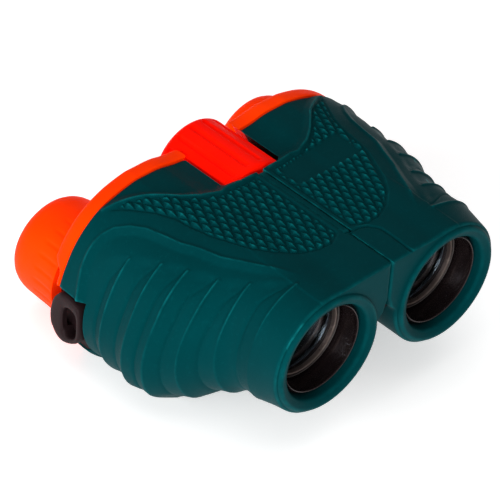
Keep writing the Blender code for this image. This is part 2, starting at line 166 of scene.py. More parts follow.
def glass(name, tint, rough=0.03, coat_tint=None, metal=0.0):
    m, nt, b = nodes_of(name)
    co = nt.nodes.new("ShaderNodeTexCoord").outputs["Object"]
    smear = noise(nt, co, 180.0, 4.0)
    dust = noise(nt, co, 2600.0, 2.0, 0.7)
    col = mix(nt, remap(nt, smear, 0.3, 0.7, 0.0, 1.0), tint, tuple(0.9 * c for c in tint))
    nt.links.new(col, b.inputs["Base Color"])
    r = maths(nt, "ADD", remap(nt, smear, 0.4, 0.75, rough, rough + 0.06), remap(nt, dust, 0.68, 0.8, 0.0, 0.25))
    nt.links.new(r, b.inputs["Roughness"])
    b.inputs["IOR"].default_value = 1.52
    b.inputs["Transmission Weight"].default_value = 1.0
    if coat_tint:
        b.inputs["Coat Weight"].default_value = 0.3
        b.inputs["Specular IOR Level"].default_value = 0.25
        b.inputs["Coat Roughness"].default_value = 0.04
        b.inputs["Coat Tint"].default_value = (*coat_tint, 1)
    bp = node(nt, "ShaderNodeBump", Strength=0.03, Distance=0.00002)
    nt.links.new(smear, bp.inputs["Height"])
    nt.links.new(bp.outputs["Normal"], b.inputs["Normal"])
    return m


# Teal rubber: its large edge value paints highlights in the pale colour along rib crests, pyramid tips and rims.
TEAL = worn("rubber_teal", (0.0001, 0.0315, 0.0360), (0.0001, 0.0280, 0.0320), (0.0040, 0.150, 0.160), 0.48, 4200.0, 0.35, spec=0.028, edge=0.95, tint=(0.005, 0.85, 0.92))
# Orange rubber and wheel: the glow colour and strength make them glow a little, a painted glow that lightens their
# shade.
ORANGE = worn("rubber_orange", (1.0, 0.042, 0.0002), (0.97, 0.032, 0.0001), (1.0, 0.075, 0.002), 0.50, 3800.0, 0.28, spec=0.05, emission=((1.0, 0.012, 0.0), 0.10), edge=0.15, tint=(1.0, 0.16, 0.01))
WHEEL = worn("rubber_wheel", (1.0, 0.0055, 0.0002), (0.95, 0.003, 0.0002), (1.0, 0.03, 0.002), 0.46, 3600.0, 0.25, spec=0.07, emission=((1.0, 0.003, 0.0), 0.14), edge=0.2, tint=(1.0, 0.12, 0.02))
BLACK = worn("plastic_black", (0.0125, 0.0062, 0.0070), (0.009, 0.0046, 0.0052), (0.035, 0.022, 0.023), 0.46, 3000.0, 0.30, spec=0.08, edge=0.2, tint=(0.95, 0.78, 0.80))
GLOSS = worn("plastic_black_gloss", (0.0075, 0.0045, 0.0050), (0.005, 0.0032, 0.0035), (0.05, 0.038, 0.038), 0.24, 3000.0, 0.15, spec=0.38, edge=0.6, tint=(0.95, 0.80, 0.80))
ALU = worn("aluminium_black", (0.034, 0.027, 0.027), (0.024, 0.019, 0.019), (0.13, 0.11, 0.10), 0.32, 2600.0, 0.22, metal=0.35, brushed=900.0, edge=0.7)
BRASS = worn("ring_metal", (0.17, 0.125, 0.11), (0.12, 0.09, 0.08), (0.36, 0.30, 0.27), 0.33, 2600.0, 0.22, metal=0.75, brushed=1100.0, edge=0.8)
CARRIAGE = worn("carriage_brass", (0.62, 0.44, 0.20), (0.48, 0.33, 0.14), (0.80, 0.66, 0.40), 0.32, 2600.0, 0.22, metal=1.0, brushed=900.0)
STEEL = worn("spring_steel", (0.52, 0.52, 0.53), (0.40, 0.40, 0.41), (0.7, 0.7, 0.7), 0.28, 2600.0, 0.2, metal=1.0, brushed=1000.0)
GLASS = glass("glass_clear", (0.90, 0.95, 0.96))
COATED = glass("glass_coated", (0.62, 0.66, 0.66), coat_tint=(0.62, 0.75, 0.9))

# ------------------------------------------------------------------------------ helpers
def to_row(P, side=1):
    P = np.asarray(P, float).copy()
    P[:, 0] *= side
    return (P + SHIFT) * MM


def volume(V, F):
    t = 0.0
    for f in F:
        a = V[f[0]]
        for i in range(1, len(f) - 1):
            t += float(np.dot(a, np.cross(V[f[i]], V[f[i + 1]])))
    return t / 6


def obj(name, P, F, mat, side=1, angle=35, sign=None):
    """One mesh from design points; sign says whether the faces already look outwards."""
    V = to_row(P, side)
    F = [tuple(map(int, f)) for f in F]
    if side < 0:
        F = [f[::-1] for f in F]
    if (volume(V, F) if sign is None else sign) < 0:
        F = [f[::-1] for f in F]
    me = bpy.data.meshes.new(name)
    me.from_pydata(V.tolist(), [], F)
    me.validate()
    me.shade_smooth()
    me.set_sharp_from_angle(angle=radians(angle))
    ob = bpy.data.objects.new(name, me)
    bpy.context.scene.collection.objects.link(ob)
    if mat is not None:
        me.materials.append(mat)
    return ob


def loop_faces(m, n, closed):
    """Quads of m rings of n points; closed joins the last ring to the first."""
    i = np.arange(m if closed else m - 1)[:, None]
    k = np.arange(n)[None, :]
    a, b, k2 = i * n, ((i + 1) % m) * n, (k + 1) % n
    return np.stack([a + k, b + k, b + k2, a + k2], -1).reshape(-1, 4).tolist()


def lathe_points(axis, prof, n, shape=None, phase=0.0):
    """Points of a closed turned form; prof is a closed loop of (radius, y). shape(angle, r, y)
    gives the changed radius."""
    a = phase + 2 * pi * np.arange(n) / n
    out = []
    for r, y in prof:
        rr = np.full(n, float(r)) if shape is None else shape(a, r, y)
        out.append(np.stack([axis[0] + rr * np.cos(a), np.full(n, float(y)), axis[1] + rr * np.sin(a)], 1))
    return np.concatenate(out), loop_faces(len(prof), n, True)


def rounded(prof, r, steps=4):
    """The closed loop prof with each corner turned into an arc of about radius r."""
    out = []
    m = len(prof)
    for i in range(m):
        p, q, s = (np.array(prof[j % m], float) for j in (i - 1, i, i + 1))
        u, v = p - q, s - q
        lu, lv = np.linalg.norm(u), np.linalg.norm(v)
        c = float(np.dot(u, v) / (lu * lv))
        if c < -0.985:
            out.append(tuple(q))
            continue
        d = min(r, 0.42 * lu, 0.42 * lv)
        a, b = q + u / lu * d, q + v / lv * d
        for k in range(steps + 1):
            t = k / steps
            out.append(tuple((1 - t) ** 2 * a + 2 * t * (1 - t) * q + t * t * b))
    return out


def lathe(name, axis, prof, mat, side=1, n=96, rnd=0.0, shape=None, angle=35, phase=0.0):
    if rnd:
        prof = rounded(prof, rnd)
    P, F = lathe_points(axis, prof, n, shape, phase)
    return obj(name, P, F, mat, side, angle)


def solid_lathe(name, axis, prof, mat, side=1, n=96, angle=35):
    """Turned form whose first and last profile points lie on the axis."""
    a = 2 * pi * np.arange(n) / n
    P, F = [(axis[0], prof[0][1], axis[1])], []
    for r, y in prof[1:-1]:
        P += [(axis[0] + r * cos(t), y, axis[1] + r * sin(t)) for t in a]
    P.append((axis[0], prof[-1][1], axis[1]))
    m = len(prof) - 2
    for k in range(n):
        k2 = (k + 1) % n
        F.append((0, 1 + k, 1 + k2))
        F.append((1 + m * n, 1 + (m - 1) * n + k2, 1 + (m - 1) * n + k))
    for i in range(m - 1):
        for k in range(n):
            k2 = (k + 1) % n
            a0, b0 = 1 + i * n, 1 + (i + 1) * n
            F.append((a0 + k, b0 + k, b0 + k2, a0 + k2))
    return obj(name, P, F, mat, side, angle)


def box_points(x0, x1, y0, y1, z0, z1):
    v = [(x, y, z) for x in (x0, x1) for y in (y0, y1) for z in (z0, z1)]
    f = [(0, 1, 3, 2), (4, 6, 7, 5), (0, 4, 5, 1), (2, 3, 7, 6), (0, 2, 6, 4), (1, 5, 7, 3)]
    return v, f


def rod_points(axis, r, y0, y1, n=64, phase=0.01):
    a = phase + 2 * pi * np.arange(n) / n
    P = [(axis[0] + r * cos(t), y, axis[1] + r * sin(t)) for y in (y0, y1) for t in a]
    F = [tuple(range(n)), tuple(range(2 * n - 1, n - 1, -1))]
    for k in range(n):
        k2 = (k + 1) % n
        F.append((k, k + n, k2 + n, k2))
    return P, F


def cut(ob, cutters, side, op="DIFFERENCE"):
    """Boolean with each cutter (points, faces) in turn, baked into the mesh."""
    tools = []
    for P, F in cutters:
        t = obj("tool", P, F, None, side)
        tools.append(t)
        mod = ob.modifiers.new("cut", "BOOLEAN")
        mod.object, mod.operation, mod.solver = t, op, "MANIFOLD"
    bake(ob)
    for t in tools:
        me = t.data
        bpy.data.objects.remove(t)
        bpy.data.meshes.remove(me)
    return ob


def bake(ob, angle=None):
    bpy.context.view_layer.update()
    dg = bpy.context.evaluated_depsgraph_get()
    me = bpy.data.meshes.new_from_object(ob.evaluated_get(dg))
    old = ob.data
    ob.modifiers.clear()
    ob.data = me
    bpy.data.meshes.remove(old)
    if angle is not None:
        me.shade_smooth()
        me.set_sharp_from_angle(angle=radians(angle))
    return ob


def put(ob, body, slot, *cad):
    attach(ob, body)
    if cad:
        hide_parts(*cad)
    return ob


def ss(t):
    t = np.clip(t, 0, 1)
    return t * t * (3 - 2 * t)

# ------------------------------------------------------------------ the body's cross section
def smax(a, b, w=2.5):
    d = np.abs(a - b)
    return np.maximum(a, b) + np.where(d < w, (w - d) ** 2 / (4 * w), 0)


def smin(a, b, w=2.0):
    return -smax(-a, -b, w)


def centre(y):
    s = float(ss((y - 14) / 26.0))
    return OBJ[0] + 7.0 * s, OBJ[1] - 5.0 * s


def ellipse(c, d, p, a, b):
    ox, oz, dx, dz = (c[0] - p[0]) / a, (c[1] - p[1]) / b, d[0] / a, d[1] / b
    A, B = dx * dx + dz * dz, dx * ox + dz * oz
    q = B * B - A * (ox * ox + oz * oz - 1)
    return np.where(q > 0, (-B + np.sqrt(np.maximum(q, 0))) / A, 0.0)


def plane(c, d, n, p):
    den = n[0] * d[0] + n[1] * d[1]
    num = n[0] * (p[0] - c[0]) + n[1] * (p[1] - c[1])
    return np.where(den > 1e-6, num / np.where(den > 1e-6, den, 1), 1e3)


def section(th, y):
    c, d = centre(y), (np.cos(th), np.sin(th))
    r = ellipse(c, d, OBJ, 17.0, 17.0)
    g = float(ss((y - 9) / 29.0))
    r = smax(r, ellipse(c, d, (OBJ[0] + 4 * g, OBJ[1] - 8.3 * g), 13 + 12.4 * g, 13.5 + 11.7 * g))
    h = float(ss((y - 6) / 31.0))
    br = 13 + 3.8 * h - 0.4 * float(ss((y - 50) / 13))
    r = smax(r, ellipse(c, d, (OBJ[0] + (EYE[0] - OBJ[0]) * h, OBJ[1] + (EYE[1] - OBJ[1]) * h), br, br))
    t = plane(c, d, (0, 1), (0, 17.5))
    t = smin(t, plane(c, d, (0.12, 0.993), (14, 17.5)), 1.0)
    t = np.minimum(t, plane(c, d, (1, 0), (23, 0)))
    t = np.minimum(t, plane(c, d, (-0.64, -0.768), (1.3, 2.5)))
    r = smax(r, t, 1.5)
    r = np.minimum(r, plane(c, d, (-1, 0), (0.15, 0)))
    lean = atan(0.30)
    r = np.minimum(r, plane(c, d, (-cos(lean), -sin(lean)), (0.25, 6.0)))
    r = np.minimum(r, plane(c, d, (0, 1), (0, 17.5)))
    return np.minimum(r, plane(c, d, (0, -1), (0, -27.2)))


def cavity(th, y):
    c, d = centre(y), (np.cos(th), np.sin(th))
    r = section(th, y) - 2.2
    r = np.minimum(r, plane(c, d, (-1, 0), (7.4 if y < 44.45 else 14.7, 0)))
    r = np.minimum(r, plane(c, d, (0, 1), (0, 15.3)))
    r = np.minimum(r, plane(c, d, (0, -1), (0, -25.0)))
    if y > 51:
        r = np.minimum(r, plane(c, d, (1, 0), (45.0, 0)))
    return r


def dense(y, n=1500):
    """Fine outline from the top corner at the seam outwards: points and run of length."""
    c = centre(y)
    th = atan2(17.5 - c[1], 0.15 - c[0]) - np.linspace(0, 2 * pi, n + 1)
    r = section(th, y)
    P = np.stack([c[0] + r * np.cos(th), c[1] + r * np.sin(th)], 1)
    s = np.concatenate([[0], np.cumsum(np.linalg.norm(np.diff(P, axis=0), axis=1))])
    return P, s, th


STEP = 0.3125
FINE, COARSE = 140, 104
NCOL = 1 + FINE + COARSE


def outline(y):
    P, s, th = dense(y)
    first = STEP * np.arange(1, FINE + 1) - 0.15
    rest = first[-1] + (s[-1] - first[-1]) * np.arange(1, COARSE + 1) / (COARSE + 1)
    t = np.concatenate([[0.0], first, rest])
    x, z, a = np.interp(t, s, P[:, 0]), np.interp(t, s, P[:, 1]), np.interp(t, s, th)
    return np.stack([x, np.full(NCOL, float(y)), z], 1), t, a


def along(pts):
    """Points (x, y[, z]) on the skin as (run of length, y). Without z, the top side is meant."""
    out = []
    for p in pts:
        P, s, th = dense(p[1], 900)
        if len(p) == 3:
            i = int(np.argmin((P[:, 0] - p[0]) ** 2 + (P[:, 1] - p[2]) ** 2))
        else:
            top = int(np.argmax(P[:, 0]))
            i = int(np.argmin(np.abs(P[:top + 1, 0] - p[0])))
        out.append((s[i], p[1]))
    return np.array(out)


def line_distance(S, Y, pts, closed=False):
    best = np.full(S.shape, 1e9)
    q = np.roll(pts, -1, 0) if closed else pts[1:]
    for (x0, y0), (x1, y1) in zip(pts[:len(q)], q):
        dx, dy = x1 - x0, y1 - y0
        t = np.clip(((S - x0) * dx + (Y - y0) * dy) / (dx * dx + dy * dy + 1e-12), 0, 1)
        best = np.minimum(best, np.hypot(S - x0 - t * dx, Y - y0 - t * dy))
    return best


def inside(S, Y, poly):
    r = np.zeros(S.shape, bool)
    for (x0, y0), (x1, y1) in zip(poly, np.roll(poly, -1, 0)):
        hit = (y0 > Y) != (y1 > Y)
        xi = x0 + (Y - y0) * (x1 - x0) / (y1 - y0 + 1e-12)
        r ^= hit & (S < xi)
    return r


# edge of the smooth shoulder, from the front round to the strap lug
SHOULDER = along([(20.5, 10.0), (22.6, 14.5), (25.2, 19.7, 16.5), (27.1, 23.9, 16.1), (29.4, 28.4, 15.7), (31.2, 33.5, 15.8), (33.1, 38.4, 15.5),
                  (34.2, 44.4, 15.1), (35.1, 48.8, 14.7), (36.7, 52.5, 13.8), (38.8, 55.5, 12.5), (41.1, 57.2, 10.7),
                  (43.0, 57.9, 8.7), (45.2, 57.9, 5.9), (47.0, 57.5, 2.6), (48.9, 56.4, -1.4), (50.4, 55.4, -6.0)])
# ridge in front of the dished wings beside the wheel
WING = along([(0.6, 46.3), (6.4, 46.4), (10.6, 46.9), (13.0, 46.6), (17.7, 48.5), (21.7, 51.3), (25.2, 54.7), (27.6, 57.4),
              (30.6, 59.5), (33.8, 61.4), (37.2, 62.9)])
PANEL_EDGE = along([(36.3, 60.9), (33.4, 56.3), (30.3, 50.6), (28.5, 45.4), (27.9, 40.7), (26.7, 35.0), (24.6, 30.1),
                    (22.6, 25.4), (19.1, 20.4), (14.6, 16.5), (10.1, 14.4), (6.3, 14.1), (3.2, 15.6), (2.0, 16.5)])
PANEL_REAR = along([(1.9, 45.2), (6.4, 45.0), (10.6, 45.5), (13.0, 45.3), (17.3, 47.0), (21.0, 49.8), (24.4, 53.2), (27.0, 56.0),
                    (30.0, 58.2), (33.0, 60.0)])
PANEL = np.concatenate([PANEL_EDGE, PANEL_REAR])
BLANK = np.array([(3.6, 36.0), (25.0, 36.0), (26.0, 45.6), (18.0, 45.0), (3.6, 43.2)])
RIB_END = along([(22.8, 9.0, 17.2), (29.1, 18.4, 14.7), (32.7, 25.4, 13.2), (36.1, 32.5, 13.5), (38.5, 39.1, 12.7), (41.4, 47.5, 10.4), (44.5, 53.5, 6.8)])
RIB_Y = [0.0, 9.0, 13.4, 18.4, 21.4, 25.4, 28.5, 32.5, 35.1, 39.1, 42.5, 47.5, 50.2, 55.5]
RIB_H = [0.92, 1.0, 0.0, 1.0, 0.0, 1.0, 0.0, 1.0, 0.0, 1.0, 0.0, 1.0, 0.0, 0.9]
ARC = np.array([(0.05, 14.7), (2.65, 14.5), (5.05, 13.5), (6.75, 11.1), (6.85, 7.1), (6.55, 2.5), (6.4, 0.5)])


def rib_height(y):
    """Saw-tooth along the barrel: a slow rise towards the eyes, then a quick fall."""
    y = np.asarray(y, float)
    i = np.clip(np.searchsorted(RIB_Y, y, side="right") - 1, 0, len(RIB_Y) - 2)
    a, b = np.array(RIB_Y)[i], np.array(RIB_Y)[i + 1]
    ha, hb = np.array(RIB_H)[i], np.array(RIB_H)[i + 1]
    t = np.clip((y - a) / (b - a), 0, 1)
    rise = t ** 1.1
    fall = 1 - (1 - t) ** 1.35
    return ha + (hb - ha) * np.where(hb > ha, rise, fall)


def dip(x):
    """How far the wings fall towards the wheel."""
    return 1.5 * (1 - ss((x - 8.0) / 12.0))


def relief(side, S, Y, P, TH):
    """Height of the skin over the plain section, in mm."""
    X, Z = P[..., 0], P[..., 2]
    deg = np.degrees((TH + pi) % (2 * pi) - pi)
    # shoulder step and ribs
    ya = np.interp(S, SHOULDER[:, 0], SHOULDER[:, 1], left=0.0, right=54.8)
    t = line_distance(S, Y, SHOULDER) * np.where(Y < ya, 1, -1)
    under = np.where((deg < -60) | (deg > 150), ss((np.where(deg > 0, deg - 360, deg) + 125) / 30.0), 1.0)
    front = ss((Y - 9.0) / 12.0)
    step = ss((t + 0.2) / 1.9) * front * under
    d = -0.60 * step
    # soft raised edge along the shoulder
    d += 0.40 * np.exp(-((t + 0.7) / 0.50) ** 2) * front * (S < 75)
    # the barrel is fuller low on its outer side
    full = np.interp(Y, [0, 4, 9, 13.4, 18.4, 21.4, 28, 36, 46], [0, 0.6, 1.7, 2.7, 2.3, 1.7, 1.2, 0.8, 0])
    d += full * np.exp(-((deg + 45) / 38.0) ** 2) * ss((Z + 26.0) / 7.0)
    if side > 0:
        full = np.interp(Y, [0, 4, 9, 13.4, 18.4, 25, 32, 40, 48, 56, 62], [0, 0.9, 2.0, 2.7, 2.8, 1.8, 0.7, 0.5, 0.8, 1.1, 0.5])
        d += full * np.exp(-((deg - 32) / 30.0) ** 2)
    se = np.interp(Y, RIB_END[:, 1], RIB_END[:, 0], left=RIB_END[0, 0], right=RIB_END[-1, 0])
    m = ss((S - se + 1.6) / 3.4) * under * ss((57.0 - Y) / 2.5)
    fade = 0.72 + 0.45 * ss((6.0 - Z) / 16.0)
    below = S - se
    crest = sum(np.exp(-((Y - c) / 0.37) ** 2) for c in RIB_Y[1:12:2])
    valley = sum(np.exp(-((Y - c - (v - c) * (0.30 + 0.70 * ss(below / 7.0))) / 0.40) ** 2)
                 for c, v in zip(RIB_Y[1:12:2], RIB_Y[2:13:2]))
    d += (rib_height(Y) - 1.0) * 0.82 * m * fade
    d += 0.42 * crest * (1 - 0.9 * ss((below - 8.0) / 12.0)) * ss((below + 0.7) / 0.9) * under
    d -= 0.27 * valley * (1 - 0.4 * ss((below - 14.0) / 12.0)) * ss((below + 0.9) / 1.2) * under
    # wings
    yw = np.interp(S, WING[:, 0], WING[:, 1], right=80.0)
    w = (Y - yw)
    top = (S < 46) * ss((41.0 - S) / 5.0)
    slope = 0.78
    d += -0.70 * ss(w * slope / 1.7) * top * (S < WING[-1, 0])
    d += 0.42 * np.exp(-((w * slope + 0.45) / 0.38) ** 2) * top * ss((S - 1.2) / 2.0) * (S < WING[-1, 0])
    d += -dip(X) * ss(w * slope / 2.6) * (S < 46)
    # textured panel
    pin = inside(S, Y, PANEL)
    pd = line_distance(S, Y, PANEL, True) * np.where(pin, 1, -1)
    d += -0.42 * ss((pd + 0.15) / 0.7)
    y0 = 22.95 if side < 0 else 20.45
    u = S + 0.15
    h = np.zeros(S.shape)
    for ox, oy in ((0, 0), (1.25, 2.5)):
        dx = (u - 2.5 - ox + 1.25) % 2.5 - 1.25
        dy = (Y - y0 - oy + 2.5) % 5.0 - 2.5
        h = np.maximum(h, 1 - np.abs(dx) / 1.25 - np.abs(dy) / 2.5)
    h = 1 - np.sqrt((1 - h) ** 2 + 0.012)
    on = ss((pd - 0.35) / 0.7)
    if side > 0:
        bd = line_distance(S, Y, BLANK, True) * np.where(inside(S, Y, BLANK), 1, -1)
        on = on * (1 - ss((bd + 0.3) / 0.6))
        d += 0.12 * ss((bd + 0.2) / 0.5) * pin
    d += 0.95 * h * on
    if side > 0:
        d += -0.42 * np.exp(-(line_distance(S, Y, ARC) / 0.30) ** 2) * (S < 12)
    # softened edges at the seam and at the rear plate
    d += -0.16 * (1 - ss(S / 0.5)) * (S < 2)
    d += -0.22 * ss((Y - 62.75) / 0.5)
    return d


def shell(tag, side):
    ys = [0.9] + [1.075 + STEP * k for k in range(200)] + [63.3]
    rows = [outline(y) for y in ys]
    B = np.stack([r[0] for r in rows])
    S = np.stack([r[1] for r in rows])
    TH = np.stack([r[2] for r in rows])
    Y = B[..., 1]
    du = np.roll(B, -1, 1) - np.roll(B, 1, 1)
    dv = np.gradient(B, axis=0)
    N = np.cross(du, dv)
    N /= np.linalg.norm(N, axis=2, keepdims=True) + 1e-9
    C = np.array([(centre(y)[0], y, centre(y)[1]) for y in ys])[:, None, :]
    N *= np.sign(np.sum(N * (B - C), 2, keepdims=True))
    N[-1, :, 1] = 0
    D = relief(side, S, Y, B, TH)
    wall = (B[..., 0] < 0.2) & (S > 5)             # the flat against the other half stays plain
    D = np.where(wall, 0, D)
    outer = B + N * D[..., None]
    outer[-1, :, 1] = 63.3

    def front_ring(y, off):
        P, t, a = outline(0.0)
        r = np.hypot(P[:, 0] - OBJ[0], P[:, 2] - OBJ[1]) - off
        return np.stack([OBJ[0] + r * np.cos(a), np.full(NCOL, y), OBJ[1] + r * np.sin(a)], 1), a

    def circle(r, y, a):
        return np.stack([OBJ[0] + r * np.cos(a), np.full(NCOL, float(y)), OBJ[1] + r * np.sin(a)], 1)

    edge, ang = front_ring(0.0, 0.75)
    rings = [circle(13.1, 15.6, ang), circle(13.1, 10, ang), circle(13.1, 5, ang), circle(13.1, 1.2, ang), circle(13.14, 0.5, ang),
             circle(13.3, 0.05, ang), circle(13.65, -0.35, ang), circle(14.15, -0.62, ang), circle(14.6, -0.82, ang), circle(15.0, -0.97, ang),
             circle(15.35, -1.0, ang), circle(15.7, -0.88, ang), circle(16.0, -0.6, ang), circle(16.18, -0.3, ang)]
    ring0 = circle(16.24, -0.12, ang)
    for t in (0.0, 0.12, 0.5, 0.88):
        q = ring0 * (1 - t) + edge * t
        q[:, 1] = -0.12 + 0.12 * min(1, t * 6)
        rings.append(q)
    rings.append(edge)
    k = (outer[0] - edge)
    for t, yy in ((0.45, 0.10), (0.75, 0.32), (0.93, 0.62)):
        q = edge + k * t
        q[:, 1] = yy
        rings.append(q)
    rings += list(outer)
    c = centre(63.3)
    inner = []
    for y in (63.3, 57, 52, 51, 44.6, 44.3, 38, 31, 25, 20, 17):
        a = TH[-1] if y > 60 else outline(y)[2]
        r = cavity(a, y)
        cc = centre(y)
        inner.append(np.stack([cc[0] + r * np.cos(a), np.full(NCOL, float(y)), cc[1] + r * np.sin(a)], 1))
    rings += inner
    P = np.concatenate(rings)
    ob = obj(tag + "_shell_skin", P, loop_faces(len(rings), NCOL, True), TEAL, side, 30, sign=1 if side > 0 else 1)
    # which way the rings run is known, so the faces only need turning once
    V = np.array([v.co for v in ob.data.vertices])
    f = ob.data.polygons[NCOL * 60 + 20]
    mid = Vector(V[list(f.vertices)].mean(0))
    up = Vector((0, 0, 1))
    if f.normal.dot(up) < 0:
        ob.data.flip_normals()
    cutters = [box_points(46.3, 56.0, 54.0, 70.0, -20.6, -4.2), rod_points(HINGE, 13.3, 46.2, 75.0, 180),
               box_points(-2.0, 1.2, 14.8, 50.0, 11.3, 20.0), box_points(3.0, 12.0, 15.2, 25.8, 3.9, 8.1)]
    for a, b in (((6.9, 40.9),) if side < 0 else ((2.2, 6.9), (12.3, 35.9), (40.9, 47.0))):
        cutters.append(rod_points(HINGE, 5.9, a, b, 48, 0.037))
    cut(ob, cutters, side)
    ob.data.shade_smooth()
    ob.data.set_sharp_from_angle(angle=radians(28))
    return put(ob, HALF[tag], "teal_rubber", tag + "_body_shell")


def knuckles(tag, side):
    for i, (a, b) in enumerate(((2.5, 6.6), (41.2, 45.9)) if side < 0 else ((7.2, 12.0), (36.2, 40.6))):
        bore = 2.3 if b < 20 else 4.3
        ob = lathe("%s_knuckle_%d" % (tag, i), HINGE, [(5.6, a), (5.6, b), (bore, b), (bore, a)], BLACK, side, 64, 0.3)
        put(ob, HALF[tag], "teal_rubber")


# --------------------------------------------------------------------------- rear plates
def rear_plate(tag, side):
    P0, s, a = outline(63.3)
    c = centre(63.3)
    R = np.hypot(P0[:, 0] - c[0], P0[:, 2] - c[1])
    z = P0[:, 2]
    deg = np.degrees((a + pi) % (2 * pi) - pi)
    # thick over the upper part, thin below on the outer side
    thin = ss((1.6 - z) / 3.0) * (P0[:, 0] > 20)
    rings = []
    for off, y_thick, y_thin in ((0.30, 63.45, 63.45), (0.06, 63.7, 63.6), (0.0, 64.2, 63.75), (0.0, 65.2, 63.95), (0.04, 66.0, 64.15), (0.16, 66.7, 64.35),
                                 (0.42, 67.3, 64.6), (0.85, 67.7, 64.8), (1.45, 67.9, 64.9), (2.6, 67.9, 64.9)):
        y = y_thick * (1 - thin) + y_thin * thin
        r = R - off
        q = np.stack([c[0] + r * np.cos(a), y, c[1] + r * np.sin(a)], 1)
        q[:, 2] -= dip(q[:, 0]) * (z > 8)
        rings.append(q)
    # the face inside: flat parts stepping in to the eyepiece hole
    last = rings[-1]
    e = np.array([EYE[0], 0, EYE[1]])
    n = NCOL
    F = loop_faces(len(rings), n, False)
    P = np.concatenate(rings)
    F.append(tuple(range(n)))
    m = len(rings)
    # close the back with rings that shrink towards the outline's centre
    prev = (m - 1) * n
    pts = [P]
    for t in (0.12, 0.25, 0.4, 0.55, 0.7, 0.85):
        q = last * (1 - t) + np.array([c[0], 0, c[1]]) * t
        q[:, 1] = last[:, 1]
        zz = q[:, 2]
        th = ss((1.6 - zz) / 3.0) * ss((q[:, 0] - 20) / 4.0)
        q[:, 1] = 67.9 * (1 - th) + 64.9 * th
        pts.append(q)
        cur = sum(len(x) for x in pts[:-1])
        for k in range(n):
            k2 = (k + 1) % n
            F.append((prev + k, cur + k, cur + k2, prev + k2))
        prev = cur
    P = np.concatenate(pts)
    tip = len(P)
    P = np.concatenate([P, [[c[0], P[prev:prev + n, 1].mean(), c[1]]]])
    for k in range(n):
        F.append((prev + k, tip, prev + (k + 1) % n))
    ob = obj(tag + "_end_plate", P, F, ORANGE, side, 35)
    cut(ob, [rod_points(HINGE, 13.3, 60.0, 75.0, 180), rod_points(EYE, 10.75, 60.0, 75.0, 96), box_points(46.3, 56.0, 60.0, 72.0, -20.6, -4.2)], side)
    ob.data.shade_smooth()
    ob.data.set_sharp_from_angle(angle=radians(35))
    return put(ob, HALF[tag], "orange_rubber", tag + "_rear_plate")


# ------------------------------------------------------------------------------ eyepieces
def eyecup(tag, side):
    body = "right_eyecup" if side < 0 else "left_half"
    base = [(14.0, 68.2), (14.1, 68.9), (14.02, 70.2), (13.95, 71.5), (13.88, 73.0), (13.85, 74.5), (13.85, 76.0), (13.82, 77.5), (13.8, 79.0), (13.78, 80.4),
            (13.66, 81.6), (13.42, 82.7), (13.0, 83.75), (12.4, 84.6), (11.7, 85.15), (10.9, 85.4), (10.1, 85.36), (9.45, 85.05), (8.95, 84.5), (8.68, 83.8),
            (8.6, 83.0), (8.6, 79.9), (8.75, 79.55), (9.2, 79.4), (10.75, 79.4), (10.75, 68.2)]
    fine = []
    for (r0, y0), (r1, y1) in zip(base, base[1:]):
        steps = max(1, int(abs(y1 - y0) / 0.35)) if r0 > 12.9 and y0 < 82 else 1
        for i in range(steps):
            t = i / steps
            fine.append((r0 + (r1 - r0) * t, y0 + (y1 - y0) * t))
    fine.append(base[-1])

    def grip(a, r, y):
        rr = np.full(a.shape, float(r))
        if r > 12.9:
            k = float(ss((y - 68.3) / 0.8) * ss((76.6 - y) / 3.0))
            ph = (a * 24 / (2 * pi) + 0.35) % 1.0
            rr = rr - 0.26 * k * np.exp(-((ph - 0.5) / 0.13) ** 2)
            rr = rr + 0.05 * np.sin(a * 3 + 1.0) * float(ss((y - 74) / 8))
        return rr
    ob = lathe(tag + "_eyecup_skin", EYE, fine, ORANGE, side, 240, 0, grip, 35)
    return put(ob, body, "orange_rubber", tag + "_eyecup")


def eyepiece(tag, side):
    turn = "right_ocular" if side < 0 else "left_half"
    where = {n: b for b in frame["bodies"] for n in [o.name for o in frame["bodies"][b].children]}
    parts = (("eyepiece_barrel", [(10.4, 59.6), (10.4, 77.3), (9.9, 77.8), (7.4, 77.8), (7.4, 73.0), (8.9, 73.0), (8.9, 59.6)], BLACK, "black_plastic", 0.25),
             ("eye_lens_ring", [(8.6, 67.6), (8.6, 69.0), (7.3, 69.0), (7.3, 67.6)], BLACK, "black_plastic", 0.2))
    for nm, prof, mat, sl, rnd in parts:
        cad = tag + "_" + nm
        put(lathe(cad + "_turned", EYE, prof, mat, side, 96, rnd), where[cad], sl, cad)
    cad = tag + "_eye_lens"
    prof = [(0, 69.3)] + [(8.6 * t, 69.6 - 0.3 * (1 - t * t)) for t in (0.2, 0.4, 0.6, 0.8, 0.96)] + [(8.6, 69.7), (8.6, 71.7)] + \
           [(8.6 * t, 71.8 + 0.8 * (1 - t * t)) for t in (0.97, 0.9, 0.8, 0.65, 0.5, 0.35, 0.18)] + [(0, 72.6)]
    put(solid_lathe(cad + "_ground", EYE, prof, COATED, side), where[cad], "coated_glass", cad)


